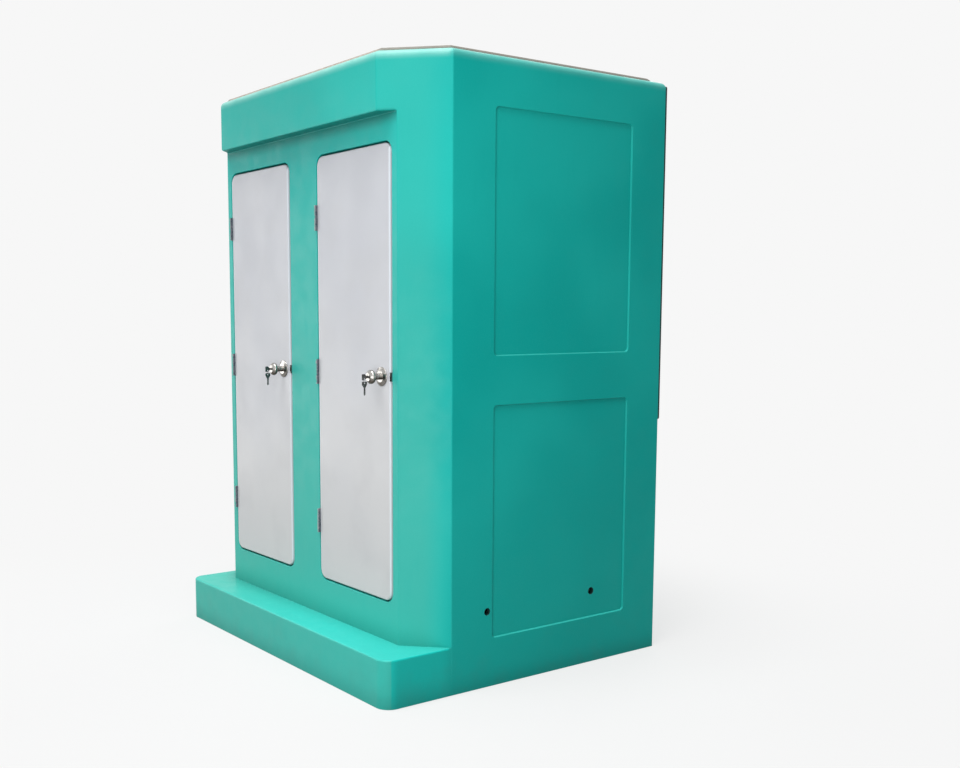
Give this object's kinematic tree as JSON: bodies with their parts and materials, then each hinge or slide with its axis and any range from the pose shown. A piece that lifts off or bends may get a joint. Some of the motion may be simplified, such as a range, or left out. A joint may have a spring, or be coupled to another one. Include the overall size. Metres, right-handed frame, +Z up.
{
  "type": "portable toilet cabin",
  "caption": "Twin portable toilet cabin in moulded glass fibre, with hinged doors, knob latches, a front step and a fitted inside.",
  "frame": {"origin": "centre of the footprint on the ground", "axes": "+X to the right as seen from the doors, -Y out of the doors, +Z up"},
  "size_m": [1.8, 1.553, 2.629],
  "materials": {
    "shell_grp": "smooth turquoise gel coat with a slight ripple",
    "base_grp": "turquoise gel coat, a little worn on the deck",
    "roof_grp": "bare laminate, grey-brown, flat",
    "door_skin": "off-white gel coat",
    "seal_rubber": "black, matt",
    "steel": "brushed",
    "hinge_steel": "dull stainless",
    "chrome": "polished",
    "brass": "worn",
    "galvanised": "galvanised grey",
    "tank_plastic": "black moulded polyethylene",
    "floor_grp": "grey non-slip floor",
    "panel_white": "white lining panel",
    "ceramic": "glazed white",
    "seat_plastic": "white moulded",
    "pipe_grey": "grey pipe plastic",
    "mirror": "silvered",
    "aluminium": "mill finish"
  },
  "bodies": {
    "cabin": {"base_step": "base_grp", "basin_waste_pipes": "pipe_grey", "bulkhead": "panel_white", "cisterns": "seat_plastic", "coat_hooks": "steel", "door_seals": "seal_rubber", "fixed_hinge_leaves": "hinge_steel", "floor_pan": "floor_grp", "flush_pipes": "pipe_grey", "front_moulding": "shell_grp", "gate_valve_body": "tank_plastic", "hinge_pins": "hinge_steel", "mirrors": "mirror", "outlet_pipe": "pipe_grey", "paper_holders": "steel", "partition_wall": "panel_white", "rear_panel": "shell_grp", "rear_wall": "shell_grp", "roof_panel": "roof_grp", "shell_rivets": "aluminium", "side_wall_left": "shell_grp", "side_wall_right": "shell_grp", "skid_frame": "galvanised", "strike_plates": "steel", "supply_pipes": "pipe_grey", "tank_vent_pipe": "pipe_grey", "tap_bodies": "chrome", "vent_grilles": "aluminium", "wash_basins": "ceramic", "waste_tank": "tank_plastic", "wc_pan_left": "ceramic", "wc_pan_right": "ceramic"},
    "door_left": {"door_left": "door_skin", "door_hinge_leaves_left": "hinge_steel", "lock_plates_left": "steel"},
    "knob_left": {"knob_outer_left": "steel", "knob_inner_left": "steel"},
    "latch_left": {"latch_bolt_left": "steel"},
    "key_left": {"lock_plug_left": "brass", "key_left": "brass"},
    "spare_key_left": {"spare_key_left": "steel"},
    "seat_left": {"wc_seat_left": "seat_plastic"},
    "flush_button_left": {"flush_button_left": "chrome"},
    "tap_lever_left": {"tap_lever_left": "chrome"},
    "door_right": {"door_right": "door_skin", "door_hinge_leaves_right": "hinge_steel", "lock_plates_right": "steel"},
    "knob_right": {"knob_outer_right": "steel", "knob_inner_right": "steel"},
    "latch_right": {"latch_bolt_right": "steel"},
    "key_right": {"lock_plug_right": "brass", "key_right": "brass"},
    "spare_key_right": {"spare_key_right": "steel"},
    "seat_right": {"wc_seat_right": "seat_plastic"},
    "flush_button_right": {"flush_button_right": "chrome"},
    "tap_lever_right": {"tap_lever_right": "chrome"},
    "hatch": {"service_hatch": "shell_grp", "hatch_hinge_leaves": "hinge_steel"},
    "hatch_handle": {"hatch_handle": "steel"},
    "gate": {"gate_blade": "steel"}
  },
  "joints": [
    {"name": "door_left_swing", "type": "hinge", "parent": "cabin", "child": "door_left", "pos_m": [-0.699, -0.61, 1.3175], "axis": [0, 0, -1], "range_deg": [0, 110]},
    {"name": "knob_left_turn", "type": "hinge", "parent": "door_left", "child": "knob_left", "pos_m": [-0.193, -0.6035, 1.3175], "axis": [0, 1, 0], "range_deg": [0, 45], "stiffness_Nm_per_rad": 0.3},
    {"name": "latch_left_slide", "type": "slide", "parent": "door_left", "child": "latch_left", "axis": [-1, 0, 0], "range_m": [0, 0.0115]},
    {"name": "key_left_turn", "type": "hinge", "parent": "knob_left", "child": "key_left", "pos_m": [-0.193, -0.6715, 1.3175], "axis": [0, 1, 0], "range_deg": [0, 90]},
    {"name": "spare_key_left_swing", "type": "hinge", "parent": "key_left", "child": "spare_key_left", "pos_m": [-0.193, -0.688, 1.31], "axis": [1, 0, 0], "range_deg": [-38, 17]},
    {"name": "seat_left_lift", "type": "hinge", "parent": "cabin", "child": "seat_left", "pos_m": [-0.4425, 0.5245, 0.781], "axis": [-1, 0, 0], "range_deg": [0, 95]},
    {"name": "flush_button_left_push", "type": "slide", "parent": "cabin", "child": "flush_button_left", "axis": [0, 1, 0], "range_m": [0, 0.006], "stiffness_N_per_m": 400},
    {"name": "tap_lever_left_turn", "type": "hinge", "parent": "cabin", "child": "tap_lever_left", "pos_m": [-0.83, -0.2535, 1.278], "axis": [0, 0, 1], "range_deg": [0, 90]},
    {"name": "door_right_swing", "type": "hinge", "parent": "cabin", "child": "door_right", "pos_m": [0.125, -0.61, 1.3175], "axis": [0, 0, -1], "range_deg": [0, 110]},
    {"name": "knob_right_turn", "type": "hinge", "parent": "door_right", "child": "knob_right", "pos_m": [0.631, -0.6035, 1.3175], "axis": [0, 1, 0], "range_deg": [0, 45], "stiffness_Nm_per_rad": 0.3},
    {"name": "latch_right_slide", "type": "slide", "parent": "door_right", "child": "latch_right", "axis": [-1, 0, 0], "range_m": [0, 0.0115]},
    {"name": "key_right_turn", "type": "hinge", "parent": "knob_right", "child": "key_right", "pos_m": [0.631, -0.6715, 1.3175], "axis": [0, 1, 0], "range_deg": [0, 90]},
    {"name": "spare_key_right_swing", "type": "hinge", "parent": "key_right", "child": "spare_key_right", "pos_m": [0.631, -0.688, 1.31], "axis": [1, 0, 0], "range_deg": [-38, 17]},
    {"name": "seat_right_lift", "type": "hinge", "parent": "cabin", "child": "seat_right", "pos_m": [0.4425, 0.5245, 0.781], "axis": [-1, 0, 0], "range_deg": [0, 95]},
    {"name": "flush_button_right_push", "type": "slide", "parent": "cabin", "child": "flush_button_right", "axis": [0, 1, 0], "range_m": [0, 0.006], "stiffness_N_per_m": 400},
    {"name": "tap_lever_right_turn", "type": "hinge", "parent": "cabin", "child": "tap_lever_right", "pos_m": [0.83, -0.2535, 1.278], "axis": [0, 0, -1], "range_deg": [0, 90]},
    {"name": "hatch_swing", "type": "hinge", "parent": "cabin", "child": "hatch", "pos_m": [-0.4525, 0.7695, 0.68], "axis": [0, 0, 1], "range_deg": [0, 110]},
    {"name": "hatch_handle_turn", "type": "hinge", "parent": "hatch", "child": "hatch_handle", "pos_m": [0.41, 0.7635, 0.68], "axis": [0, 1, 0], "range_deg": [0, 90]},
    {"name": "gate_slide", "type": "slide", "parent": "cabin", "child": "gate", "axis": [0, 0, 1], "range_m": [0, 0.112]}
  ],
  "couplings": [
    {"joint": "latch_left_slide", "follows": "knob_left_turn", "m_per_rad": 0.014642},
    {"joint": "latch_right_slide", "follows": "knob_right_turn", "m_per_rad": 0.014642}
  ]
}
